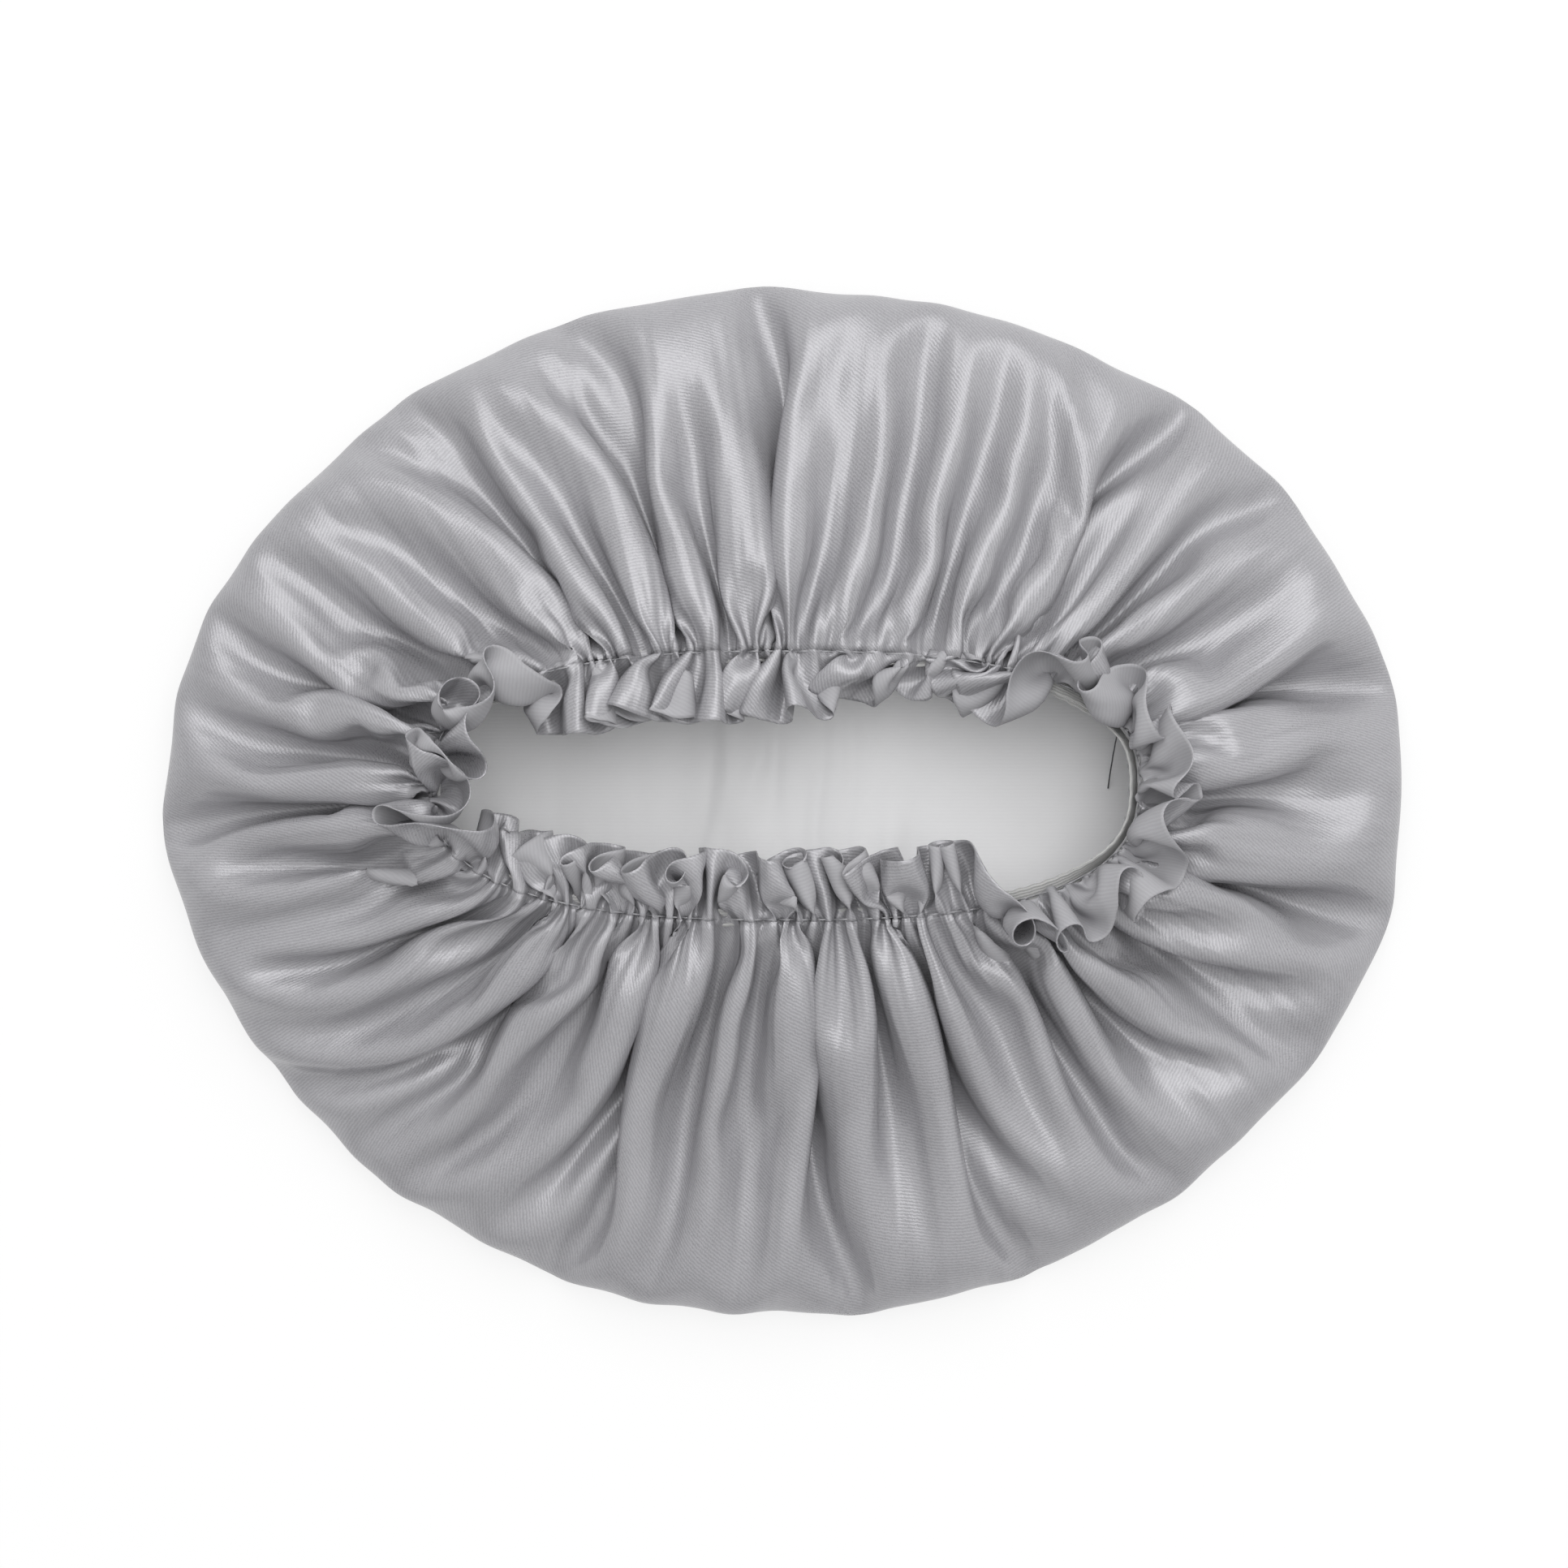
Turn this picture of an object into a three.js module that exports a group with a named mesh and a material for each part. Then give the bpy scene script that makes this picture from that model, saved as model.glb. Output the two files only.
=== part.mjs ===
// Gathered satin hair cap, lying crown down on a table with its elastic mouth facing up.
// One circle of cloth is drawn in by an elastic that is sewn on some way in from the cut edge,
// so the cloth outside the seam stands as a frill and the cloth inside it makes the bag.
// Millimetres, +Z up. The origin is on the table, under the middle of the cap.
import * as THREE from "three";

// The cap as it lies
const LYING_LENGTH = 340;
const LYING_WIDTH = 280;
const EDGE_ROLL = 12; // half the height of the round edge where the cloth turns back over itself
const ROLL_SAG = 1.7; // how far the round edge sags below a true half circle
const CLOTH = 0.8; // thickness of the cloth as a solid
const CLOTH_SHIFT = -4; // the middle of the cut circle lies this far along +Y from the lying cap's middle

// The mouth, measured on the seam
const MOUTH_LENGTH = 190;
const MOUTH_WIDTH = 72;
const MOUTH_HEIGHT = 36;
const MOUTH_SHIFT = 5; // the mouth lies this far along +Y from the middle
const MOUTH_SQUARENESS = 2.6; // 2 is an ellipse, more is squarer

// The main folds. Each has a ridge, given by its place along the seam and its place round the edge, both
// in degrees of a whole turn from the +X end, and the depth of the valley after it as a share of the full
// depth.
const FOLDS = [
  [6, 5, 1.2], [17.5, 17, 0.7], [29, 32, 1], [39.5, 39, 1.2], [48, 48.5, 0.8], [54, 60, 0.6],
  [66, 70.5, 0.5], [77, 85, 0.5], [87, 91.5, 1.2], [98, 100, 0.8], [109, 106, 1], [118, 119, 0.8],
  [126, 124, 1.1], [134, 136, 0.5], [147, 147, 0.8], [163, 158, 1.2], [170, 166, 1], [178, 178, 1.2],
  [184.5, 187, 0.8], [193, 192, 0.6], [203, 201.5, 0.9], [209, 212, 1], [219, 222, 1.2], [229, 234, 1],
  [238, 243, 1.2], [250, 252, 1], [260, 264, 0.5], [268, 274, 1.2], [281, 286, 0.9], [290, 293, 1.2],
  [300, 302, 0.8], [308.5, 309.5, 0.9], [316, 322, 1.1], [325, 328, 1], [342, 340, 1.2], [352, 353, 0.7],
];
const FOLD_DEPTH = 8; // full depth of a valley below its ridges, between the edge and the seam
const EDGE_FOLD_DEPTH = 3; // the same where the cloth comes over the round edge
const SWELL = 3.5; // how far the ridges stand above a straight run from the edge to the seam
const EDGE_SWELL = 1.5; // the same where the cloth comes over the round edge
const EDGE_BULGE = 1.6; // ridges push the edge out by this, and valleys draw it in

// The frill outside the seam
const FRILL_WIDTH = 20;
const RUFFLES = 44;
const RUFFLE_HEIGHT = 4; // each side of the frill's middle, at its cut edge
const FRILL_LEAN_SIDES = 30; // degrees above level, leaning into the mouth along its long sides
const FRILL_LEAN_ENDS = 130; // past upright, so that it falls outwards at the mouth's two ends
const LEAN_STARTS = 0.7; // shares of the mouth's half length between which the lean turns
const LEAN_ENDS = 0.97;

// The elastic tape, sewn to the inside of the cloth along the seam
const ELASTIC_WIDTH = 5;
const ELASTIC_THICKNESS = 0.8;
const LAP_STITCHES = 3; // its ends overlap by this many stitches
const CLIMB_STITCHES = 4; // and its end climbs onto its start over this many
const LAP_PLACE = 26; // where the lap starts, along the seam from the +X end

// The sewing thread
const THREAD = 0.4; // diameter
const STITCH = 4; // length of one stitch, before it is fitted to the seam
const STITCH_RISE = 0.2; // how far a stitch stands up between two needle holes
const ZIGZAG = 2.4; // width of the zigzag over the elastic
const TACKS_PER_STITCH = 3; // closer stitches where the lap is tacked
const THREAD_SIDES = 4;

// The loose thread end at the lap: it drops from the seam and its tip lies on the crown inside
const TAIL_ROUTE = [
  [91.6, 25.4, 32.0], [91.0, 24.6, 31.2], [90.6, 23.6, 29.9], [90.3, 22.5, 28.2], [90.1, 21.3, 26.3],
  [89.9, 20.1, 24.2], [89.7, 18.8, 21.9], [89.6, 17.5, 19.5], [89.4, 16.1, 17.0], [89.3, 14.7, 14.4],
  [89.1, 13.2, 11.7], [89.0, 11.6, 9.0], [88.8, 9.9, 6.4], [88.6, 8.0, 4.0], [88.4, 5.9, 2.1],
  [88.2, 4.2, 1.4],
];
const TAIL_STEPS = 36;
const TAIL_SIDES = 8;

const CLEARANCE = 0.35; // between pieces that lie against each other
const SEAM_GAP = 0.8; // between the crown's edge and the frill's root, where the thread passes
const COLUMNS_PER_RUFFLE = 4;
const SEAM_SAMPLES = 1440;

const UP = new THREE.Vector3(0, 0, 1);
const lerp = THREE.MathUtils.lerp;
const radians = THREE.MathUtils.degToRad;

const satin = new THREE.MeshStandardMaterial({ color: 0xa8a8ac, roughness: 0.35, metalness: 0.1 });
const elasticTape = new THREE.MeshStandardMaterial({ color: 0xd9d9d6, roughness: 0.8, metalness: 0 });
const sewingThread = new THREE.MeshStandardMaterial({ color: 0x8b8b90, roughness: 0.6, metalness: 0 });

// A mesh of points and triangles, turned so that its faces point outwards.
function solid(points, triangles) {
  const volume = triangles.reduce((sum, [a, b, c]) => {
    return sum + points[a].dot(new THREE.Vector3().crossVectors(points[b], points[c])) / 6;
  }, 0);
  const geometry = new THREE.BufferGeometry().setFromPoints(points);
  geometry.setIndex(triangles.flatMap(([a, b, c]) => (volume > 0 ? [a, b, c] : [a, c, b])));
  geometry.computeVertexNormals();
  return geometry;
}

function middleOf(points) {
  const middle = new THREE.Vector3();
  points.forEach((p) => middle.addScaledVector(p, 1 / points.length));
  return middle;
}

// A strip of tape or thread through sections that all have the same number of points, with both
// of its ends capped.
function strip(sections) {
  const count = sections[0].length;
  const points = sections.flat();
  const triangles = [];
  for (let i = 0; i + 1 < sections.length; i++) {
    for (let j = 0; j < count; j++) {
      const k = (j + 1) % count;
      const [here, next] = [i * count, (i + 1) * count];
      triangles.push([here + j, here + k, next + k], [here + j, next + k, next + j]);
    }
  }
  for (const section of [0, sections.length - 1]) {
    points.push(middleOf(sections[section]));
    for (let j = 0; j < count; j++) {
      const a = section * count + j;
      const b = section * count + ((j + 1) % count);
      triangles.push(section ? [a, b, points.length - 1] : [b, a, points.length - 1]);
    }
  }
  return solid(points, triangles);
}

// A thin wall between two faces, each a list of closed rings of points. Both faces are cut into
// triangles the same way, so that the wall keeps its thickness in the folds. The rings' first end is
// closed across its middle, for a bag, or else both ends have an edge.
function wall(outer, inner, bag) {
  const count = outer[0].length;
  const points = [...outer.flat(), ...inner.flat()];
  const innerFirst = outer.length * count;
  const triangles = [];
  const quad = (a, b, c, d, turned) => {
    triangles.push(...(turned ? [[a, c, b], [a, d, c]] : [[a, b, c], [a, c, d]]));
  };
  for (let j = 0; j < count; j++) {
    const k = (j + 1) % count;
    for (let i = 0; i + 1 < outer.length; i++) {
      const [here, next] = [i * count, (i + 1) * count];
      quad(here + j, here + k, next + k, next + j, false);
      quad(innerFirst + here + j, innerFirst + here + k, innerFirst + next + k, innerFirst + next + j, true);
    }
    const last = (outer.length - 1) * count;
    quad(last + j, last + k, innerFirst + last + k, innerFirst + last + j, false);
    if (!bag) {
      quad(j, k, innerFirst + k, innerFirst + j, true);
    }
  }
  if (bag) {
    points.push(middleOf(outer[0]), middleOf(inner[0]));
    for (let j = 0; j < count; j++) {
      const k = (j + 1) % count;
      triangles.push([k, j, points.length - 2], [innerFirst + j, innerFirst + k, points.length - 1]);
    }
  }
  return solid(points, triangles);
}

// The seam as a closed line: a squared ellipse, with its length measured so that places on it
// can be given as distances from its +X end.
function seamPoint(angle) {
  const c = Math.cos(angle);
  const s = Math.sin(angle);
  const power = 2 / MOUTH_SQUARENESS;
  return new THREE.Vector3(
    (Math.sign(c) * Math.abs(c) ** power * MOUTH_LENGTH) / 2,
    (Math.sign(s) * Math.abs(s) ** power * MOUTH_WIDTH) / 2 + MOUTH_SHIFT,
    MOUTH_HEIGHT,
  );
}
const seamLine = Array.from({ length: SEAM_SAMPLES + 1 }, (_, i) => {
  return seamPoint((i / SEAM_SAMPLES) * 2 * Math.PI);
});
const seamReach = [0];
for (let i = 1; i <= SEAM_SAMPLES; i++) {
  seamReach.push(seamReach[i - 1] + seamLine[i].distanceTo(seamLine[i - 1]));
}
const SEAM_LENGTH = seamReach[SEAM_SAMPLES];
const STITCH_COUNT = Math.round(SEAM_LENGTH / STITCH);

function alongSeam(distance) {
  const wrapped = THREE.MathUtils.euclideanModulo(distance, SEAM_LENGTH);
  const after = Math.max(1, seamReach.findIndex((reach) => reach >= wrapped));
  const share = (wrapped - seamReach[after - 1]) / (seamReach[after] - seamReach[after - 1]);
  return seamLine[after - 1].clone().lerp(seamLine[after], share);
}

// The edge of the lying cap: an ellipse pushed out at each ridge, fitted to the lying length and width.
// Angles round it are measured from the middle of the cut circle.
function edgePoint(angle, bulge) {
  const a = LYING_LENGTH / 2;
  const b = LYING_WIDTH / 2;
  const c = Math.cos(angle);
  const s = Math.sin(angle);
  const square = (c / a) ** 2 + (s / b) ** 2;
  const half = (CLOTH_SHIFT * s) / b ** 2;
  const radius = (Math.sqrt(half ** 2 + square * (1 - (CLOTH_SHIFT / b) ** 2)) - half) / square + bulge;
  return new THREE.Vector3(radius * c, radius * s + CLOTH_SHIFT, 0);
}

// Two columns of points for each fold, one down its ridge and one down the valley after it.
const columns = FOLDS.flatMap(([seam, edge, depth], i) => {
  const last = i + 1 === FOLDS.length;
  const [nextSeam, nextEdge] = FOLDS[last ? 0 : i + 1].map((angle) => (last ? angle + 360 : angle));
  return [
    { seam: seam / 360, edge: edge / 360, depth: 0, bulge: EDGE_BULGE },
    { seam: (seam + nextSeam) / 720, edge: (edge + nextEdge) / 720, depth, bulge: -EDGE_BULGE },
  ];
});
const rawEdge = columns.map(({ edge, bulge }) => edgePoint(edge * 2 * Math.PI, bulge));
const rawBox = new THREE.Box3().setFromPoints(rawEdge);
const rawSize = rawBox.getSize(new THREE.Vector3());
const rawMiddle = rawBox.getCenter(new THREE.Vector3());
const edgeLine = rawEdge.map((p) => {
  return new THREE.Vector3(
    ((p.x - rawMiddle.x) * LYING_LENGTH) / rawSize.x,
    ((p.y - rawMiddle.y) * LYING_WIDTH) / rawSize.y,
    0,
  );
});

// The cloth bag: flat on the table, rolled over at its edge and gathered to the seam.
function crownGeometry() {
  const cut = EDGE_ROLL * (1 - Math.SQRT1_2);
  // Each ring of the outer face: distance in from the edge, or share of the way from the roll to the
  // seam, with the height of the ridges there, the depth of a full valley, and the way to the inner face.
  const straight = (share) => lerp(2 * EDGE_ROLL, MOUTH_HEIGHT, share);
  const outer = [
    { inset: EDGE_ROLL, z: 0, valley: 0, inward: [0, 1] },
    { inset: cut, z: cut - ROLL_SAG / 2, valley: 0, inward: [Math.SQRT1_2, Math.SQRT1_2] },
    { inset: 0, z: EDGE_ROLL - ROLL_SAG, valley: 0, inward: [1, 0] },
    { inset: cut, z: 2 * EDGE_ROLL - cut - ROLL_SAG, valley: 0, inward: [Math.SQRT1_2, -Math.SQRT1_2] },
    { share: 0, z: straight(0) + EDGE_SWELL, valley: EDGE_FOLD_DEPTH, inward: [0, -1] },
    { share: 1 / 3, z: straight(1 / 3) + SWELL, valley: FOLD_DEPTH, inward: [0, -1] },
    { share: 2 / 3, z: straight(2 / 3) + SWELL, valley: FOLD_DEPTH, inward: [0, -1] },
    { share: 1, z: MOUTH_HEIGHT, valley: 0, inward: [0, -1] },
  ];
  const place = (ring, column, depth) => {
    const fold = columns[column];
    const edge = edgeLine[column];
    const toSeam = alongSeam(fold.seam * SEAM_LENGTH).sub(edge).setZ(0);
    const reach = toSeam.length();
    toSeam.normalize();
    const inset = ring.inset ?? lerp(EDGE_ROLL, reach, ring.share);
    return edge.clone()
      .addScaledVector(toSeam, inset + depth * ring.inward[0])
      .setZ(ring.z - ring.valley * fold.depth + depth * ring.inward[1]);
  };
  const face = (depth) => outer.map((ring) => columns.map((_, column) => place(ring, column, depth)));
  return wall(face(0), face(CLOTH), true);
}

// The seam's own frame at a distance along it: which way is into the mouth, which way the frill
// leans, and the directions halfway between frill and crown on the outside and inside of the cloth.
const crownDrop = Math.atan2(
  (MOUTH_HEIGHT - 2 * EDGE_ROLL) / 2,
  ((LYING_WIDTH - MOUTH_WIDTH) / 2 - EDGE_ROLL) / 2,
);
const crownSlope = Math.PI + crownDrop;
const FRAME_STEP = 0.5;

function seamFrame(distance) {
  const point = alongSeam(distance);
  const along = alongSeam(distance + FRAME_STEP).sub(alongSeam(distance - FRAME_STEP)).normalize();
  const inward = new THREE.Vector3().crossVectors(UP, along);
  const end = THREE.MathUtils.smoothstep(Math.abs(point.x) / (MOUTH_LENGTH / 2), LEAN_STARTS, LEAN_ENDS);
  const lean = radians(lerp(FRILL_LEAN_SIDES, FRILL_LEAN_ENDS, end));
  const towards = (angle) => {
    return inward.clone().multiplyScalar(Math.cos(angle)).addScaledVector(UP, Math.sin(angle));
  };
  const between = (lean + crownSlope) / 2;
  return {
    point,
    frill: towards(lean),
    frillFace: towards(lean + Math.PI / 2),
    outside: towards(between),
    inside: towards(between + Math.PI),
    across: towards(between - Math.PI / 2),
    halfAngle: (crownSlope - lean) / 2,
  };
}

// The cut edge of the cloth, outside the seam, standing in ruffles that grow towards its edge.
function frillGeometry() {
  const count = RUFFLES * COLUMNS_PER_RUFFLE;
  const rows = [SEAM_GAP, (SEAM_GAP + FRILL_WIDTH) / 2, FRILL_WIDTH];
  const frames = Array.from({ length: count }, (_, i) => seamFrame((i / count) * SEAM_LENGTH));
  const face = (side) => rows.map((row) => frames.map((frame, i) => {
    const wave = Math.sin((2 * Math.PI * i) / COLUMNS_PER_RUFFLE + Math.PI / COLUMNS_PER_RUFFLE);
    const grown = (row - SEAM_GAP) / (FRILL_WIDTH - SEAM_GAP);
    return frame.point.clone()
      .addScaledVector(frame.frill, row)
      .addScaledVector(frame.frillFace, wave * RUFFLE_HEIGHT * grown + (side * CLOTH) / 2);
  }));
  return wall(face(1), face(-1), false);
}

// Distances from the seam, on the inside of the cloth, of what lies against it there.
const tapeDepth = CLOTH + CLEARANCE + ELASTIC_THICKNESS / 2;
const lapDepth = tapeDepth + ELASTIC_THICKNESS + CLEARANCE;
const threadOnTape = ELASTIC_THICKNESS / 2 + CLEARANCE + THREAD / 2;

const stitchFrame = (stitch) => seamFrame(LAP_PLACE + (stitch * SEAM_LENGTH) / STITCH_COUNT);

// One strip of tape, right round the mouth and on over its own start.
function elasticGeometry() {
  const last = STITCH_COUNT + LAP_STITCHES;
  const sections = Array.from({ length: last + 1 }, (_, i) => {
    const frame = stitchFrame(i);
    const onTop = THREE.MathUtils.clamp((i - STITCH_COUNT + CLIMB_STITCHES) / CLIMB_STITCHES, 0, 1);
    const depth = lerp(tapeDepth, lapDepth, onTop);
    const corner = (across, through) => {
      return frame.point.clone()
        .addScaledVector(frame.inside, depth + (through * ELASTIC_THICKNESS) / 2)
        .addScaledVector(frame.across, (across * ELASTIC_WIDTH) / 2);
    };
    return [corner(1, 1), corner(1, -1), corner(-1, -1), corner(-1, 1)];
  });
  return strip(sections);
}

// A thread laid along the seam from one stitch to another. The place function gives its middle
// from the seam's frame and the number of the bend.
function threadGeometry(first, last, bendsPerStitch, place) {
  const bends = (last - first) * bendsPerStitch;
  const sections = Array.from({ length: bends + 1 }, (_, i) => {
    const frame = stitchFrame(first + i / bendsPerStitch);
    const middle = place(frame, i);
    return Array.from({ length: THREAD_SIDES }, (_, k) => {
      const angle = (2 * Math.PI * k) / THREAD_SIDES;
      return middle.clone()
        .addScaledVector(frame.inside, (Math.cos(angle) * THREAD) / 2)
        .addScaledVector(frame.across, (Math.sin(angle) * THREAD) / 2);
    });
  });
  return strip(sections);
}
const zigzag = (depth) => (frame, i) => {
  return frame.point.clone()
    .addScaledVector(frame.inside, depth)
    .addScaledVector(frame.across, i % 2 ? ZIGZAG / 2 : -ZIGZAG / 2);
};

// Stitches on the outside of the cloth, in the groove between the crown and the frill.
function needleThreadGeometry() {
  return threadGeometry(0, STITCH_COUNT - 1, 1, (frame, i) => {
    const clear = CLOTH / 2 + THREAD / 2 + CLEARANCE;
    const out = clear / Math.sin(frame.halfAngle) + (i % 2 ? STITCH_RISE : 0);
    return frame.point.clone().addScaledVector(frame.outside, out);
  });
}

// The zigzag on the inside, over the elastic, from one end of the lap round to the other.
function bobbinThreadGeometry() {
  const last = STITCH_COUNT - CLIMB_STITCHES - 1;
  return threadGeometry(LAP_STITCHES + 1, last, 1, zigzag(tapeDepth + threadOnTape));
}

// Close stitches through both layers where the elastic overlaps.
function lapTackGeometry() {
  return threadGeometry(0, LAP_STITCHES, TACKS_PER_STITCH, zigzag(lapDepth + threadOnTape));
}

function threadTailGeometry() {
  const route = new THREE.CatmullRomCurve3(TAIL_ROUTE.map((p) => new THREE.Vector3(...p)));
  const section = new THREE.Shape();
  for (let k = 0; k < TAIL_SIDES; k++) {
    const angle = (2 * Math.PI * k) / TAIL_SIDES;
    section[k ? "lineTo" : "moveTo"]((Math.cos(angle) * THREAD) / 2, (Math.sin(angle) * THREAD) / 2);
  }
  return new THREE.ExtrudeGeometry(section, { steps: TAIL_STEPS, extrudePath: route, bevelEnabled: false });
}

function piece(name, geometry, material) {
  const mesh = new THREE.Mesh(geometry, material);
  mesh.name = name;
  return mesh;
}

const cap = new THREE.Group();
cap.add(
  piece("crown", crownGeometry(), satin),
  piece("frill", frillGeometry(), satin),
  piece("elastic_band", elasticGeometry(), elasticTape),
  piece("needle_thread", needleThreadGeometry(), sewingThread),
  piece("bobbin_thread", bobbinThreadGeometry(), sewingThread),
  piece("lap_tack", lapTackGeometry(), sewingThread),
  piece("thread_tail", threadTailGeometry(), sewingThread),
);

export default cap;
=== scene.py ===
# A gathered satin shower cap lies on a white table, crown down, with its elastic mouth facing up.
# One circle of cloth is drawn in by an elastic that is sewn on some way in from the cut edge.
# Lengths are millimetres in the cloth's own arithmetic and metres in Blender.
import math

import bpy
import numpy as np
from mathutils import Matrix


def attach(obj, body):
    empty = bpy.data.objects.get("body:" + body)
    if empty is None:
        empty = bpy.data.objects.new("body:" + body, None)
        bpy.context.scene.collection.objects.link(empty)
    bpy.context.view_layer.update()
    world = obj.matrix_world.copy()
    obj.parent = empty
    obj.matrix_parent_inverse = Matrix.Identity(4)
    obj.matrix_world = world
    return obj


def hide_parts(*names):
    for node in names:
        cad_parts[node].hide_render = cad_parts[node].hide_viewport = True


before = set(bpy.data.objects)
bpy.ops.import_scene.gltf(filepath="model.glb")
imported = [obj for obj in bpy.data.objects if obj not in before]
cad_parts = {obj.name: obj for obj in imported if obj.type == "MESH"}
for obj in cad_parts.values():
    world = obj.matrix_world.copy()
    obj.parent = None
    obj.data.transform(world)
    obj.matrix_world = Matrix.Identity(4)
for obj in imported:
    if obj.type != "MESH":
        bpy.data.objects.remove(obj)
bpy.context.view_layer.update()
MM = 0.001

# The cut circle: one piece of satin, followed here on a net of spokes and rings.
# The ring at the seam is where the elastic is sewn, and the cloth outside it becomes the frill.
# Its place on the flat cloth is kept for every point, because cloth folds but hardly stretches.
SPOKES = 704
CROWN_RINGS = 60
FRILL_RINGS = 10
SEAM_RADIUS = 257.0
FRILL_WIDTH = 20.0
BASE_INSET = 20.0
OUTLINE = np.array([
    (169.8, 6.8), (160.2, 44.5), (135.8, 91.1), (104.8, 113.2), (60.4, 132.0), (-2.0, 139.6),
    (-39.4, 135.4), (-104.4, 109.5), (-149.6, 61.8), (-169.6, 1.2), (-168.5, -21.0), (-149.2, -58.7),
    (-108.6, -101.3), (-50.9, -133.4), (20.5, -137.4), (67.1, -129.2), (90.4, -115.2), (156.9, -50.9),
])
MOUTH_LENGTH = 190.0
MOUTH_WIDTH = 72.0
MOUTH_HEIGHT = 36.0
MOUTH_SHIFT = 5.0
CLOTH_MIDDLE = -4.0
MOUTH_SQUARENESS = 2.6
OUTLINE_STEPS = 4000
SEAM_STEPS = 20000
SEAM_NUDGE = 0.001
spoke = (np.arange(SPOKES) + 0.5) / SPOKES
ring = np.linspace(0, 1, CROWN_RINGS + 1)
frill_ring = np.linspace(0, 1, FRILL_RINGS + 1)[1:]
chance = np.random.default_rng(4)


def smooth_step(value, start, end):
    """From 0 at the start to 1 at the end, with no corner."""
    share = np.clip((value - start) / (end - start), 0, 1)
    return share * share * (3 - 2 * share)


def uneven(patches):
    """A soft random wave round the cap, with about so many patches."""
    heights = chance.normal(size=patches)
    place = spoke * patches
    before = np.floor(place).astype(int)
    share = smooth_step(place - before, 0, 1)
    return heights[before] * (1 - share) + heights[(before + 1) % patches] * share


def outline_radius(turn):
    """How far the edge of the lying cap is from its middle, in the direction of a turn."""
    steps = np.linspace(0, len(OUTLINE), OUTLINE_STEPS + 1)
    before = np.floor(steps).astype(int)
    share = (steps - before)[:, None]
    corner = [OUTLINE[(before + k) % len(OUTLINE)] - (0, CLOTH_MIDDLE) for k in (-1, 0, 1, 2)]
    leave = (corner[2] - corner[0]) / 2
    arrive = (corner[3] - corner[1]) / 2
    line = (corner[1] + share * leave
            + share**2 * (3 * (corner[2] - corner[1]) - 2 * leave - arrive)
            + share**3 * (2 * (corner[1] - corner[2]) + leave + arrive))
    angle = np.unwrap(np.arctan2(line[:, 1], line[:, 0]))
    wanted = np.mod(turn * 2 * np.pi - angle[0], 2 * np.pi) + angle[0]
    return np.interp(wanted, angle, np.hypot(line[:, 0], line[:, 1]))


sweep = np.linspace(0, 2 * np.pi, SEAM_STEPS + 1)
along_mouth = np.sign(np.cos(sweep)) * np.abs(np.cos(sweep))**(2 / MOUTH_SQUARENESS)
across_mouth = np.sign(np.sin(sweep)) * np.abs(np.sin(sweep))**(2 / MOUTH_SQUARENESS)
seam_x = along_mouth * MOUTH_LENGTH / 2
seam_y = across_mouth * MOUTH_WIDTH / 2 + MOUTH_SHIFT
seam_run = np.concatenate([[0], np.cumsum(np.hypot(np.diff(seam_x), np.diff(seam_y)))])
SEAM_LENGTH = seam_run[-1]


def seam_place(turn):
    """Where the seam is in plan, a share of a whole turn along it."""
    run = np.mod(turn, 1) * SEAM_LENGTH
    x = np.interp(run, seam_run, seam_x)
    y = np.interp(run, seam_run, seam_y) - CLOTH_MIDDLE
    return np.stack([x, y], -1)


def seam_direction(turn):
    """Which way the seam runs in plan there."""
    step = seam_place(turn + SEAM_NUDGE) - seam_place(turn - SEAM_NUDGE)
    return step / np.hypot(step[:, 0], step[:, 1])[:, None]


base_radius = outline_radius(spoke) - BASE_INSET
crown_radius = base_radius + (SEAM_RADIUS - base_radius) * ring[:, None]
frill_radius = (SEAM_RADIUS + FRILL_WIDTH * frill_ring)[:, None] * np.ones(SPOKES)
flat_radius = np.concatenate([crown_radius, frill_radius])
flat_x = flat_radius * np.cos(spoke * 2 * np.pi)
flat_y = flat_radius * np.sin(spoke * 2 * np.pi)
flat_cloth = np.stack([flat_x, flat_y, np.zeros_like(flat_x)], -1)

# The folds, as laid before the cloth settles: 36 main folds from the mouth to the edge, which
# split into fine gathers at the seam and, at the middle of both long sides, lie over to the left and
# right. A fold is drawn by how its slope swings, so its length along the cloth fits any fullness.
GATHERS = 88
SEAM_DRAW = 0.62
DRAW_REACH = 0.22
RIM_DRAW = 0.47
RIM_REACH = (0.3, 0.85)
ON_TOP = [(80.0, 0.6), (265.0, 0.75)]
LYING_STARTS = 12.0
LYING_ENDS = (55.0, 85.0)
LYING_REACH = (0.2, 0.45)
RIDGE_BEND = 0.55
RIDGE_START = 0.1
RIDGE_SPAN = 0.45
FOLDS_START = (0.03, 0.18)
TUCKS_START = (0.2, 0.6)
GATHER_SHIFT = 0.3
GATHER_SPREAD = 0.2
GATHER_REACH = 0.62
GATHER_REACH_SPREAD = 0.09
GATHER_LIFT = (0.85, 0.97)
EDGE_TURN = (0.08, 0.25)
RIM_PROFILE = [
    (BASE_INSET, 0.0), (7.0, 0.4), (2.0, 4.2), (0.8, 10.0), (1.6, 16.5), (4.5, 20.5), (10.0, 22.5),
    (16.0, 23.5),
]
RISE = [(0.3, 26.0), (0.6, 29.5), (0.85, 33.5), (1.0, MOUTH_HEIGHT)]
FOLD_STEPS = 240
SLOPE_LEVELS = 60
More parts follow.
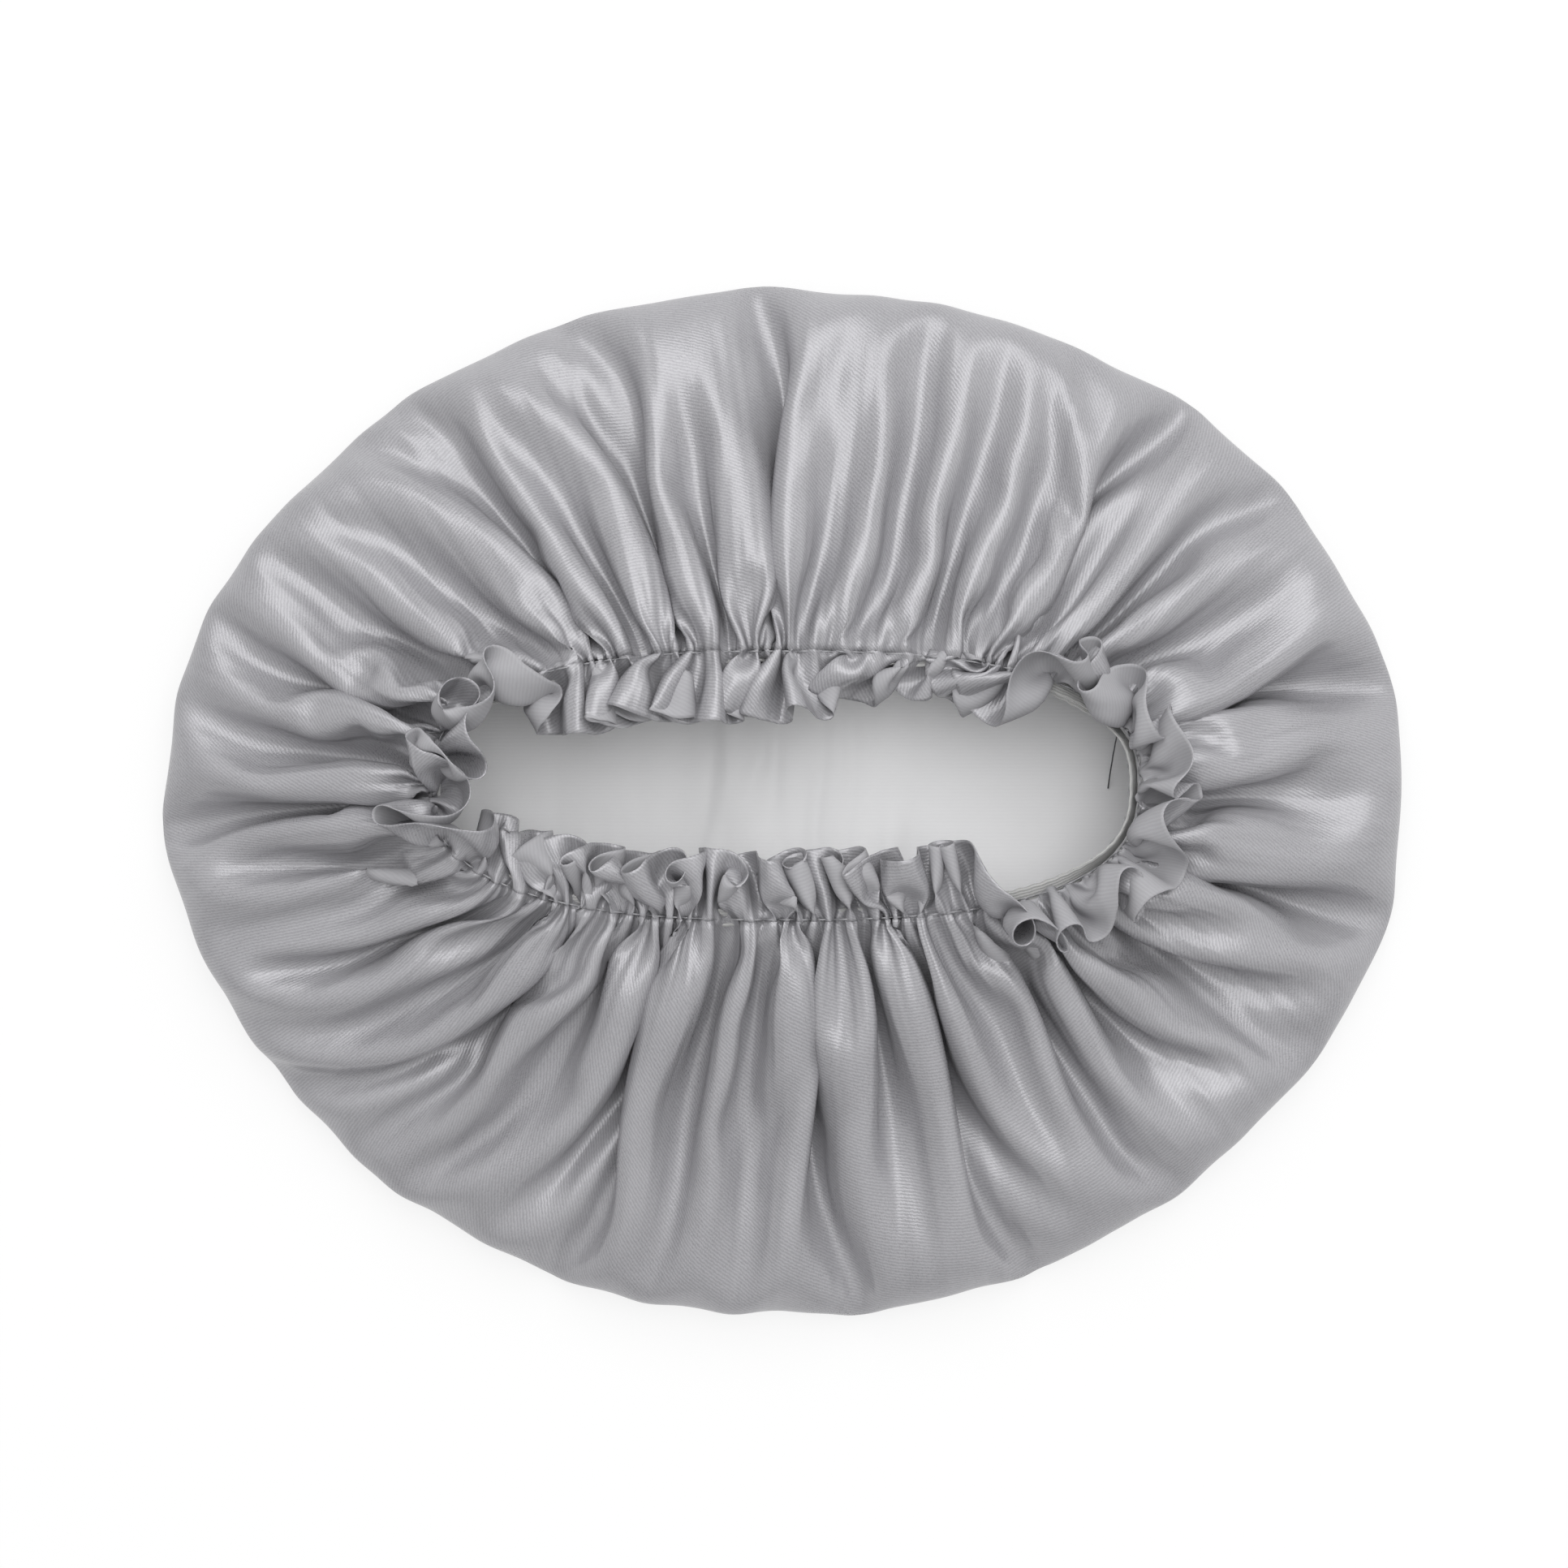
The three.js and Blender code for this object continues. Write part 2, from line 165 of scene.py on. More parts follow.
# A ridge has its degrees at the seam, halfway and at the edge, and its share of the loose cloth.
RIDGES = np.array([
    (6, 6, 5, 1.7), (17.5, 17.5, 17, 0.5), (29, 29, 32, 1.1), (39.5, 39.5, 39, 1.9),
    (48, 48.5, 48.5, 0.7), (54, 57, 60, 0.4), (66, 67, 70.5, 0.25), (77, 79, 85, 0.3),
    (87, 88, 91.5, 1.6), (98, 97.5, 100, 0.7), (109, 104, 106, 1.2), (118, 117, 119, 0.7),
    (126, 125, 124, 1.3), (134, 134.5, 136, 0.3), (147, 148, 146, 0.5), (163, 161, 158, 1.6),
    (170, 168, 166, 1.0), (178, 178, 178, 1.8), (184.5, 186, 187, 0.8), (193, 193, 192, 0.4),
    (203, 202, 201.5, 0.9), (209, 209, 212, 0.6), (219, 221, 222, 1.5), (229, 229.5, 234, 0.7),
    (238, 240, 243, 1.7), (250, 250, 252, 0.7), (260, 261, 262, 0.6), (268, 271, 275, 1.2),
    (281, 283, 286, 0.9), (290, 292, 293, 1.6), (300, 301, 302, 0.5), (308.5, 309, 309.5, 0.9),
    (316, 318, 322, 1.4), (325, 325, 328, 0.8), (342, 341, 340, 1.5), (352, 353, 353, 0.6),
])


class Fold:
    """Shapes of one fold by fullness, up to its steepest slope in radians.

    A tuck of 0 is even, and more makes broad tops and narrow tucks. A fold that is hung stays below its
    ridge, and one that isn't goes up and down alike. The crisper it is, the flatter are its two sides.
    """

    def __init__(self, tuck, hung, crisp, steepest):
        along = np.linspace(0, 1, FOLD_STEPS + 1)
        swing = np.sin(2 * np.pi * along - tuck * np.sin(2 * np.pi * along))
        swing = np.tanh(crisp * swing) / np.tanh(crisp)
        slopes = -np.linspace(0, steepest, SLOPE_LEVELS)[:, None] * swing
        self.fullness, self.side, self.high = [], [], []
        for slope in slopes:
            middle = (slope[1:] + slope[:-1]) / 2
            across = np.concatenate([[0], np.cumsum(np.cos(middle))]) / FOLD_STEPS
            up = np.concatenate([[0], np.cumsum(np.sin(middle))]) / FOLD_STEPS
            self.fullness.append(1 / across[-1])
            self.side.append(across - along * across[-1])
            self.high.append(up - up.mean() * (1 - hung))
        self.slopes = slopes
        self.side = np.array(self.side)
        self.high = np.array(self.high)

    def at(self, phase, fullness):
        """The shift to the side, the height and the slope of the cloth, for a fold of length 1."""
        level = np.interp(fullness, self.fullness, np.arange(len(self.fullness)))
        low = np.minimum(level.astype(int), len(self.fullness) - 2)
        rise = level - low
        place = np.mod(phase, 1) * FOLD_STEPS
        before = np.minimum(place.astype(int), FOLD_STEPS - 1)
        share = place - before

        def pick(table):
            lower = table[low, before] * (1 - share) + table[low, before + 1] * share
            upper = table[low + 1, before] * (1 - share) + table[low + 1, before + 1] * share
            return lower * (1 - rise) + upper * rise

        return pick(self.side), pick(self.high), pick(self.slopes)


def folds_on_folds(main, gather):
    """Fine gathers carried on the slope of the main folds: (side, high) of both together."""
    main_side, main_high, slope = main
    side, high = gather
    return (main_side + np.cos(slope) * side - np.sin(slope) * high,
            main_high + np.sin(slope) * side + np.cos(slope) * high)


tuck_fold = Fold(tuck=0.9, hung=1, crisp=1.2, steepest=2.1)
swell_fold = Fold(tuck=0.1, hung=1, crisp=0.3, steepest=2.2)
even_fold = Fold(tuck=0, hung=0, crisp=0.3, steepest=2.3)
gather_shift = uneven(40) * GATHER_SHIFT
gather_size = 1 + uneven(80) * GATHER_SPREAD
gather_reach = GATHER_REACH + uneven(50) * GATHER_REACH_SPREAD

# The crown with no folds in it: how far in and how high each ring is, in every direction.
GRID = 4096
grid_turn = np.arange(GRID + 1) / GRID
grid_edge = outline_radius(grid_turn)[:, None] * np.stack(
    [np.cos(grid_turn * 2 * np.pi), np.sin(grid_turn * 2 * np.pi)], -1)
grid_in = seam_place(grid_turn) - grid_edge
grid_reach = np.hypot(grid_in[:, 0], grid_in[:, 1])
grid_in /= grid_reach[:, None]
grid_middle = -grid_edge / np.hypot(grid_edge[:, 0], grid_edge[:, 1])[:, None]
last_inset = RIM_PROFILE[-1][0]
profile_inset = np.array(
    [np.full(GRID + 1, inset) for inset, _ in RIM_PROFILE]
    + [last_inset + (grid_reach - last_inset) * share for share, _ in RISE])
profile_height = np.array([height for _, height in RIM_PROFILE + RISE])
profile_run = np.hypot(np.diff(profile_inset, axis=0), np.diff(profile_height)[:, None])
profile_run = np.concatenate([np.zeros((1, GRID + 1)), np.cumsum(profile_run, axis=0)])
profile_run /= profile_run[-1]
grid_inset = np.empty((CROWN_RINGS + 1, GRID + 1))
grid_height = np.empty((CROWN_RINGS + 1, GRID + 1))
for k in range(GRID + 1):
    grid_inset[:, k] = np.interp(ring, profile_run[:, k], profile_inset[:, k])
    grid_height[:, k] = np.interp(ring, profile_run[:, k], profile_height)
face_in = -np.gradient(grid_height, axis=0)
face_up = np.gradient(grid_inset, axis=0)
face_size = np.hypot(face_in, face_up)
face_in /= face_size
face_up /= face_size


def plain_crown(turn, i, high=0):
    """The crown's ring i with no folds in it, or lifted off that: places in plan, and heights."""
    place = np.mod(turn, 1) * GRID
    before = place.astype(int)
    share = place - before

    def pick(table):
        weight = share[:, None] if table.ndim == 2 else share
        return table[before] * (1 - weight) + table[before + 1] * weight

    to_seam = smooth_step(ring[i], *EDGE_TURN)
    inward = pick(grid_in) * to_seam + pick(grid_middle) * (1 - to_seam)
    plan = pick(grid_edge) + inward * (pick(grid_inset[i]) + pick(face_in[i]) * high)[:, None]
    return plan, pick(grid_height[i]) + pick(face_up[i]) * high


degrees = spoke * 360
lying = np.zeros(SPOKES)
for top, amount in ON_TOP:
    off = np.mod(top - degrees + 180, 360) - 180
    lying += amount * np.clip(off / LYING_STARTS, -1, 1) * (1 - smooth_step(np.abs(off), *LYING_ENDS))
cloth = np.empty((CROWN_RINGS + 1 + FRILL_RINGS, SPOKES, 3))
# The share of its length round the cap that the cloth keeps where it is drawn in.
draw = np.ones((CROWN_RINGS + 1 + FRILL_RINGS, SPOKES))
for i, way in enumerate(ring):
    # Where the ridges are on this ring, and how much of its cloth lies between them.
    at_seam, halfway, at_rim, share = RIDGES.T
    if way > RIDGE_BEND:
        crest = halfway + (at_seam - halfway) * (way - RIDGE_BEND) / RIDGE_SPAN
    else:
        crest = at_rim + (halfway - at_rim) * max(0, way - RIDGE_START) / RIDGE_SPAN
    gap = np.diff(np.append(crest, crest[0] + 360))
    plan, _ = plain_crown(spoke, i)
    round_plan = np.hypot(*(np.roll(plan, -1, 0) - plan).T).sum()
    round_flat = np.hypot(*(np.roll(flat_cloth[i], -1, 0) - flat_cloth[i])[:, :2].T).sum()
    slack = max(1, round_flat / round_plan)
    taken = gap * (1 + (slack - 1) * share * 360 / (gap * share).sum())
    taken *= 360 / taken.sum()
    laid = crest[0] + np.concatenate([[0], np.cumsum(taken)])
    laid += (np.append(crest, crest[0] + 360) - laid).mean()
    turns = [laid[:-1] - 360, laid[:-1], laid[:-1] + 360]
    phase = np.interp(degrees, np.concatenate(turns), np.arange(-len(crest), 2 * len(crest)))
    turn = np.interp(phase, np.arange(-len(crest), 2 * len(crest)),
                     np.concatenate([crest - 360, crest, crest + 360])) / 360
    fold_cloth = (taken / 360)[np.floor(phase).astype(int) % len(crest)]
    # How full the folds are there, and how much of that goes into the fine gathers.
    plan, _ = plain_crown(turn, i)
    step = np.roll(plan, -1, 0) - plan
    plan_step = np.hypot(step[:, 0], step[:, 1])
    plan_step = (plan_step + np.roll(plan_step, 1)) / 2
    cloth_step = flat_radius[i] * 2 * np.pi / SPOKES
    slack = 1 + np.maximum(0, cloth_step / plan_step - 1) * smooth_step(way, *FOLDS_START)
    fullness = 1 + (slack - 1) * (1 - SEAM_DRAW * smooth_step(way, 1 - DRAW_REACH, 1))
    fullness = 1 + (fullness - 1) * (1 - RIM_DRAW * (1 - smooth_step(way, *RIM_REACH)))
    draw[i] = fullness / slack
    fine = smooth_step(way, gather_reach, 1.0)
    main_full = fullness**(1 - fine)
    fine_full = fullness**fine
    round_cloth = flat_radius[i] * draw[i] * 2 * np.pi
    # The gathers, and the main folds that carry them.
    side, high, _ = even_fold.at(spoke * GATHERS + gather_shift, fine_full)
    lift = even_fold.at(0 * spoke, fine_full)[1] * round_cloth / GATHERS
    gather = (side * round_cloth / GATHERS, high * round_cloth / GATHERS * gather_size)
    tucked = smooth_step(way, *TUCKS_START)
    side, high, slope = [
        swell + (tuck - swell) * tucked
        for swell, tuck in zip(swell_fold.at(phase, main_full), tuck_fold.at(phase, main_full))]
    main_size = round_cloth * fold_cloth / fine_full
    lie = lying * smooth_step(way, *LYING_REACH) * (1 - fine)
    side = side - lie * high
    high = high * np.sqrt(1 - lie * lie)
    side, high = folds_on_folds((side * main_size, high * main_size, slope), gather)
    high += lift * smooth_step(way, *GATHER_LIFT)
    plan, height = plain_crown(turn + side / (plan_step * SPOKES), i, high)
    cloth[i, :, :2] = plan
    cloth[i, :, 2] = height

# The frill as it is laid, before it settles: the cloth outside the seam, pressed into flat pleats of
# uneven width that slant to the middle. It leans into the mouth along the long sides and falls
# outwards at both ends, where the pleats of the left one are wide loops.
PLEATS = 46
PLEAT_SPREAD = 0.55
NARROWEST_PLEAT = 0.45
WIDEST_PLEAT = 2.2
WIDE_LOOPS = slice(20, 25)
LOOP_WIDTH = 2.1
PLEAT_SLANT = 0.5
SLANT_REACH = 60.0
SIDE_LEAN = (38.0, 2.0)
END_LEAN = (100.0, 168.0)
ENDS = [(-43.0, 38.0, 1.0), (147.0, 160.0, 1.0), (160.0, 181.0, 0.5), (181.0, 193.0, 1.0)]
END_BLEND = 7.0
PLEAT_STAND = 0.3
END_STAND = 0.35
FALL_SHARPNESS = 2.5
FRILL_DRAW_REACH = 0.5
FRILL_GATHER_REACH = 0.55
FRILL_LIFT_REACH = 0.3
pleat_fold = Fold(tuck=0, hung=0, crisp=2.2, steepest=1.65)
pleat_width = np.clip(1 + PLEAT_SPREAD * chance.normal(size=PLEATS), NARROWEST_PLEAT, WIDEST_PLEAT)
pleat_width[WIDE_LOOPS] = LOOP_WIDTH
pleat_start = np.concatenate([[0], np.cumsum(pleat_width)]) / pleat_width.sum()
pleat_middle = (pleat_start[1:] + pleat_start[:-1]) / 2
pleat_phase = np.interp(spoke, pleat_start, np.arange(PLEATS + 1))
pleat_share = np.interp(spoke, pleat_middle, pleat_width / pleat_width.sum(), period=1)
falls = np.tanh(FALL_SHARPNESS * uneven(16))
turned_out = np.zeros(SPOKES)
for start, end, amount in ENDS:
    from_start = np.mod(degrees - start + 180, 360) - 180
    to_end = np.mod(end - degrees + 180, 360) - 180
    inside = smooth_step(from_start, -END_BLEND, END_BLEND) * smooth_step(to_end, -END_BLEND, END_BLEND)
    turned_out = np.maximum(turned_out, amount * inside)
standing = PLEAT_STAND + END_STAND * turned_out
seam_step = seam_direction(spoke)
to_mouth = np.stack([-seam_step[:, 1], seam_step[:, 0]], -1)
to_middle = np.clip(-seam_place(spoke)[:, 0] / SLANT_REACH, -1, 1) * PLEAT_SLANT * (1 - turned_out)
to_mouth = to_mouth + np.stack([to_middle, np.zeros(SPOKES)], -1)
to_mouth /= np.hypot(to_mouth[:, 0], to_mouth[:, 1])[:, None]
reach_in = np.zeros(SPOKES)
reach_up = np.zeros(SPOKES)
for k, way in enumerate(frill_ring):
    side_lean = SIDE_LEAN[0] + (SIDE_LEAN[1] - SIDE_LEAN[0]) * way
    end_lean = END_LEAN[0] + (END_LEAN[1] - END_LEAN[0]) * way
    lean = np.radians(side_lean + (end_lean - side_lean) * turned_out)
    reach_in += np.cos(lean) * FRILL_WIDTH / FRILL_RINGS
    reach_up += np.sin(lean) * FRILL_WIDTH / FRILL_RINGS
    i = CROWN_RINGS + 1 + k
    slack = flat_radius[i] * 2 * np.pi / SEAM_LENGTH
    fullness = 1 + (slack - 1) * (1 - SEAM_DRAW * (1 - smooth_step(way, 0, FRILL_DRAW_REACH)))
    draw[i] = fullness / slack
    fine = 1 - smooth_step(way, 0, FRILL_GATHER_REACH)
    round_cloth = flat_radius[i] * draw[i] * 2 * np.pi
    side, high, _ = even_fold.at(spoke * GATHERS + gather_shift, fullness**fine)
    gather = (side * round_cloth / GATHERS, high * round_cloth / GATHERS * gather_size)
    side, high, slope = pleat_fold.at(pleat_phase, fullness**(1 - fine))
    main_size = round_cloth * pleat_share / fullness**fine
    side, high = folds_on_folds((side * main_size, high * main_size, slope), gather)
    high += pleat_fold.at(0 * spoke, fullness**(1 - fine))[1] * main_size * (1 - turned_out)
    side += falls * np.sqrt(1 - standing**2) * high * (1 - fine)
    high *= 1 + (standing - 1) * (1 - fine)
    lift = even_fold.at(0 * spoke, fullness**fine)[1] * round_cloth / GATHERS
    high += lift * (1 - smooth_step(way, 0, FRILL_LIFT_REACH))
    inwards = reach_in - np.sin(lean) * high
    cloth[i, :, :2] = seam_place(spoke + side / SEAM_LENGTH) + to_mouth * inwards[:, None]
    cloth[i, :, 2] = MOUTH_HEIGHT + reach_up + np.cos(lean) * high

# The cloth settles: every thread keeps its length, layers keep apart, and the crown is a little
# puffed up by the air in it. The seam and the cloth that lies on the table stay where they are.
# At the end the cloth that comes over the edge is eased, as it is by its own stiffness.
SETTLE_STEPS = 250
FITS_PER_STEP = 2
DAMPING = 0.97
LONGEST_MOVE = 0.25
BIAS_HOLD = 0.04
WEIGHT = 0.0005
PUFF = 0.0007
STIFFNESS = 0.03
RIM_STIFFNESS = 0.1
STIFF_RIM = (0.15, 0.5)
LAYER_GAP = 1.2
LAYER_PUSH = 0.35
LAYER_LOOK = 1.6 * LAYER_GAP
LOOK_EVERY = 15
NEIGHBOURS = 2
EASE_STEPS = 6
EASE = 0.5
EASE_START = (0.05, 0.1)
EASE_END = (0.3, 0.55)
TABLE_HEIGHT = 0.0
TINY = 1e-9


def pull(a, b, free_a, free_b, length, strength):
    """How two rows of points move towards each other, for the threads between them to fit."""
    between = b - a
    now = np.sqrt((between * between).sum(0)) + TINY
    between *= strength * (now - length) / (now * (free_a + free_b + TINY))
    return between * free_a, between * free_b


def near_layers(points, rows, columns, reach):
    """Pairs of points that are close in space and not neighbours in the cloth."""
    cell = np.floor(points / reach).astype(np.int64)
    cell -= cell.min(1, keepdims=True) - 1
    span = cell.max(1) + 2
    key = (cell[0] * span[1] + cell[1]) * span[2] + cell[2]
    order = np.argsort(key, kind="stable")
    sorted_key = key[order]
    row, column = np.divmod(np.arange(rows * columns), columns)
    found_a, found_b = [], []
    near = (-1, 0, 1)
    offsets = [(x * span[1] + y) * span[2] + z for x in near for y in near for z in near]
    for offset in [value for value in offsets if value >= 0]:
        first = np.searchsorted(sorted_key, key + offset, "left")
        count = np.searchsorted(sorted_key, key + offset, "right") - first
        for c in range(int(count.max())):
            a = np.nonzero(count > c)[0]
            b = order[first[a] + c]
            apart = np.abs(column[a] - column[b])
            apart = np.minimum(apart, columns - apart)
            keep = (np.abs(row[a] - row[b]) > NEIGHBOURS) | (apart > NEIGHBOURS)
            if offset == 0:
                keep &= b > a
            a, b = a[keep], b[keep]
            gap = points[:, a] - points[:, b]
            keep = (gap * gap).sum(0) < reach * reach
            found_a.append(a[keep])
            found_b.append(b[keep])
    return np.concatenate(found_a), np.concatenate(found_b)


def settle(start):
    """The laid cloth after it has settled, ring by ring."""
    net = np.ascontiguousarray(start.transpose(2, 0, 1).astype(np.float32))
    flat = np.ascontiguousarray(flat_cloth.transpose(2, 0, 1).astype(np.float32))
    rows, columns = net.shape[1:]
    free = np.ones((rows, 1), np.float32)
    free[0] = 0
    free[CROWN_RINGS] = 0
    every_free = np.repeat(free[:, 0], columns)
    round_way = np.roll(flat, -1, 2) - flat
    out_way = flat[:, 1:] - flat[:, :-1]
    out_length = np.sqrt((out_way**2).sum(0))
    round_length = np.sqrt((round_way**2).sum(0))
    cosine = (round_way[:, :-1] * out_way).sum(0) / (round_length[:-1] * out_length)
    round_length = (round_length * draw).astype(np.float32)
    ahead = round_length[:-1]
    bias_on = np.sqrt(ahead**2 + out_length**2 + 2 * ahead * out_length * cosine)
    behind = np.roll(round_length, 1, 1)[:-1]
    bias_back = np.sqrt(behind**2 + out_length**2 - 2 * behind * out_length * np.roll(cosine, 1, 1))

    def fit_round():
        even, odd = net[:, :, 0::2], net[:, :, 1::2]
        move_a, move_b = pull(even, odd, free, free, round_length[:, 0::2], 1)
        even += move_a
        odd -= move_b
        move_a, move_b = pull(odd, np.roll(even, -1, 2), free, free, round_length[:, 1::2], 1)
        odd += move_a
        even -= np.roll(move_b, 1, 2)

    def fit_outward(shift, length, strength):
        for s in (0, 1):
            end = s + 2 * ((rows - s) // 2)
            lower, upper = slice(s, end, 2), slice(s + 1, end, 2)
            above = np.roll(net[:, upper], -shift, 2)
            move_a, move_b = pull(net[:, lower], above, free[lower], free[upper], length[lower], strength)
            net[:, lower] += move_a
            net[:, upper] -= np.roll(move_b, shift, 2)

    stiff = np.full((rows, 1), STIFFNESS, np.float32)
    stiff[:CROWN_RINGS, 0] += (RIM_STIFFNESS - STIFFNESS) * (1 - smooth_step(ring[:-1], *STIFF_RIM))
    before = net.copy()
    for step in range(SETTLE_STEPS):
        # It moves on, sinks by its weight and is puffed up by the air.
        drift = np.clip((net - before) * DAMPING, -LONGEST_MOVE, LONGEST_MOVE)
        before[:] = net
        net += drift * free
        net[2] -= WEIGHT * free
        along = np.roll(net, -1, 2) - np.roll(net, 1, 2)
        out = np.zeros_like(net)
        out[:, 1:-1] = net[:, 2:] - net[:, :-2]
        normal = np.cross(along, out, axis=0)
        normal /= np.sqrt((normal * normal).sum(0)) + TINY
        net[:, :CROWN_RINGS] += PUFF * normal[:, :CROWN_RINGS] * free[:CROWN_RINGS]
        # It is a little stiff, round the cap and outwards.
        bend = (np.roll(net, 1, 2) + np.roll(net, -1, 2)) / 2 - net
        net += stiff * (bend - (np.roll(bend, 1, 2) + np.roll(bend, -1, 2)) / 2) * free
        bend = np.zeros_like(net)
        bend[:, 1:-1] = (net[:, 2:] + net[:, :-2]) / 2 - net[:, 1:-1]
        bend[:, CROWN_RINGS] = 0
        push = bend.copy()
        push[:, 1:] -= bend[:, :-1] / 2
        push[:, :-1] -= bend[:, 1:] / 2
        net += STIFFNESS * push * free
        # Its threads keep their length, and it gives a little on the bias.
        for _ in range(FITS_PER_STEP):
            fit_round()
            fit_outward(0, out_length, 1)
            fit_outward(1, bias_on, BIAS_HOLD)
            fit_outward(-1, bias_back, BIAS_HOLD)
        # Its layers keep apart, and it stays on the table.
        points = net.reshape(3, -1)
        if step % LOOK_EVERY == 0:
            layer_a, layer_b = near_layers(points, rows, columns, LAYER_LOOK)
        gap = points[:, layer_a] - points[:, layer_b]
        wide = np.sqrt((gap * gap).sum(0)) + TINY
        hit = wide < LAYER_GAP
        gap = gap[:, hit] * ((LAYER_GAP - wide[hit]) / wide[hit] * LAYER_PUSH)
        for axis in range(3):
            moved = np.bincount(layer_a[hit], gap[axis], points.shape[1])
            moved -= np.bincount(layer_b[hit], gap[axis], points.shape[1])
            points[axis] += moved.astype(np.float32) * every_free
        np.maximum(net[2], TABLE_HEIGHT, out=net[2])
    eased = np.zeros((rows, 1), np.float32)
    eased[:CROWN_RINGS, 0] = smooth_step(ring[:-1], *EASE_START) * (1 - smooth_step(ring[:-1], *EASE_END))
    for _ in range(EASE_STEPS):
        middle = (np.roll(net, 1, 2) + np.roll(net, -1, 2)) / 4
        middle[:, 1:-1] += (net[:, 2:] + net[:, :-2]) / 4
        net[:, 1:-1] += EASE * eased[1:-1] * (middle - net)[:, 1:-1]
    return net.transpose(1, 2, 0)


cloth = settle(cloth)
cloth[..., 1] += CLOTH_MIDDLE

# The satin: polyester with its smooth, shining face outwards and its dull back inwards.
# The face has a fine slanting grain, and creases that the gathers leave in it. The back is matt, and
# on the white table it lies in soft folds, with painted light making it pale there, for the table shining
# through the thin cloth.
SATIN_LIGHT = (0.48, 0.476, 0.498, 1)
SATIN_DARK = (0.205, 0.202, 0.214, 1)
# Painted light: the two pale back colours stand for the white table shining through the cloth where it
# lies on the table; the edge colours are the back's own.
TABLE_LIT_BACK_LIGHT = (0.97, 0.97, 0.975, 1)
TABLE_LIT_BACK_DARK = (0.9, 0.9, 0.91, 1)
EDGE_LIGHT = (0.41, 0.407, 0.424, 1)
EDGE_DARK = (0.29, 0.287, 0.301, 1)
FACE_ROUGHNESS = 0.21
FACE_METAL = 0.22
BACK_ROUGHNESS = 0.62
TWILL_PERIOD = 0.0009
TWILL_ANGLE = math.radians(63)
WAVE_SCALE = 2 * math.pi / (20 * TWILL_PERIOD)
FACE_YARNS = (2400, 900, 1)
BACK_YARNS = (500, 2300, 1)
GATHER_CREASE = 2.4
LONG_CREASE = 1.6
CREASED_CLOTH = (0.185, 0.255)
# Radii on the flat cloth, from where the painted light of the table starts to where it is full.
TABLE_LIT_RADII = (0.135, 0.105)
SOFT_FOLDS = (50, 14, 1)
FOLDED_MIDDLE = 0.004
FOLDED_CLOTH = (0.035, 0.008)


class Socket:
    """One socket of a material's nodes, with which sums and products are written plainly."""

    def __init__(self, tree, output=None):
        self.tree = tree
        self.output = output

    def node(self, kind, settings=None, inputs=None, output=0):
        """Adds a node, gives it its settings and then its inputs, and returns an output, if it has one."""
        added = self.tree.nodes.new(kind)
        for name, value in (settings or {}).items():
            setattr(added, name, value)
        for name, value in (inputs or {}).items():
            if isinstance(value, Socket):
                self.tree.links.new(value.output, added.inputs[name])
            else:
                added.inputs[name].default_value = value
        return None if output is None else Socket(self.tree, added.outputs[output])

    def math(self, operation, a, b):
        return self.node("ShaderNodeMath", {"operation": operation}, {0: a, 1: b})

    def __add__(self, other):
        return self.math("ADD", self, other)

    def __radd__(self, other):
        return self.math("ADD", other, self)

    def __sub__(self, other):
        return self.math("SUBTRACT", self, other)

    def __rsub__(self, other):
        return self.math("SUBTRACT", other, self)

    def __mul__(self, other):
        return self.math("MULTIPLY", self, other)

    def __rmul__(self, other):
        return self.math("MULTIPLY", other, self)


def new_material(name):
    """A new material with its one surface shader: (material, a socket to start from, shader)."""
    material = bpy.data.materials.new(name)
    material.use_nodes = True
    shader = material.node_tree.nodes["Principled BSDF"]
    return material, Socket(material.node_tree), shader


def link(value, shader, name):
    """Leads a socket to an input of the surface shader."""
    value.tree.links.new(value.output, shader.inputs[name])


def mixed(share, first, second):
    """From the first colour to the second."""
    return share.node("ShaderNodeMix", {"data_type": "RGBA"}, {"Factor": share, 6: first, 7: second}, 2)


def noise(place, scale, detail, distortion=0.0):
    """Soft uneven spots, the smaller the larger the scale."""
    spots = {"Vector": place, "Scale": scale, "Detail": detail, "Distortion": distortion}
    return place.node("ShaderNodeTexNoise", None, spots, "Fac")


def stretched(place, scale):
    """The same place on another scale along each axis."""
    return place.node("ShaderNodeMapping", None, {"Vector": place, "Scale": scale})


def vector(operation, place, other, output=0):
    """Vector maths on a place: a sum, a multiple, its direction or its length."""
    return place.node("ShaderNodeVectorMath", {"operation": operation}, {0: place, **other}, output)


def part_of(value, start, end):
    """From 0 where the value is at the start to 1 at the end, with no corner."""
    bounds = {"Value": value, "From Min": start, "From Max": end}
    return value.node("ShaderNodeMapRange", {"interpolation_type": "SMOOTHSTEP"}, bounds)


def raised(height, strength, distance, below=None):
    """A surface that stands out by the height, on top of another one."""
    relief = {"Height": height, "Strength": strength, "Distance": distance}
    if below:
        relief["Normal"] = below
    return height.node("ShaderNodeBump", None, relief)


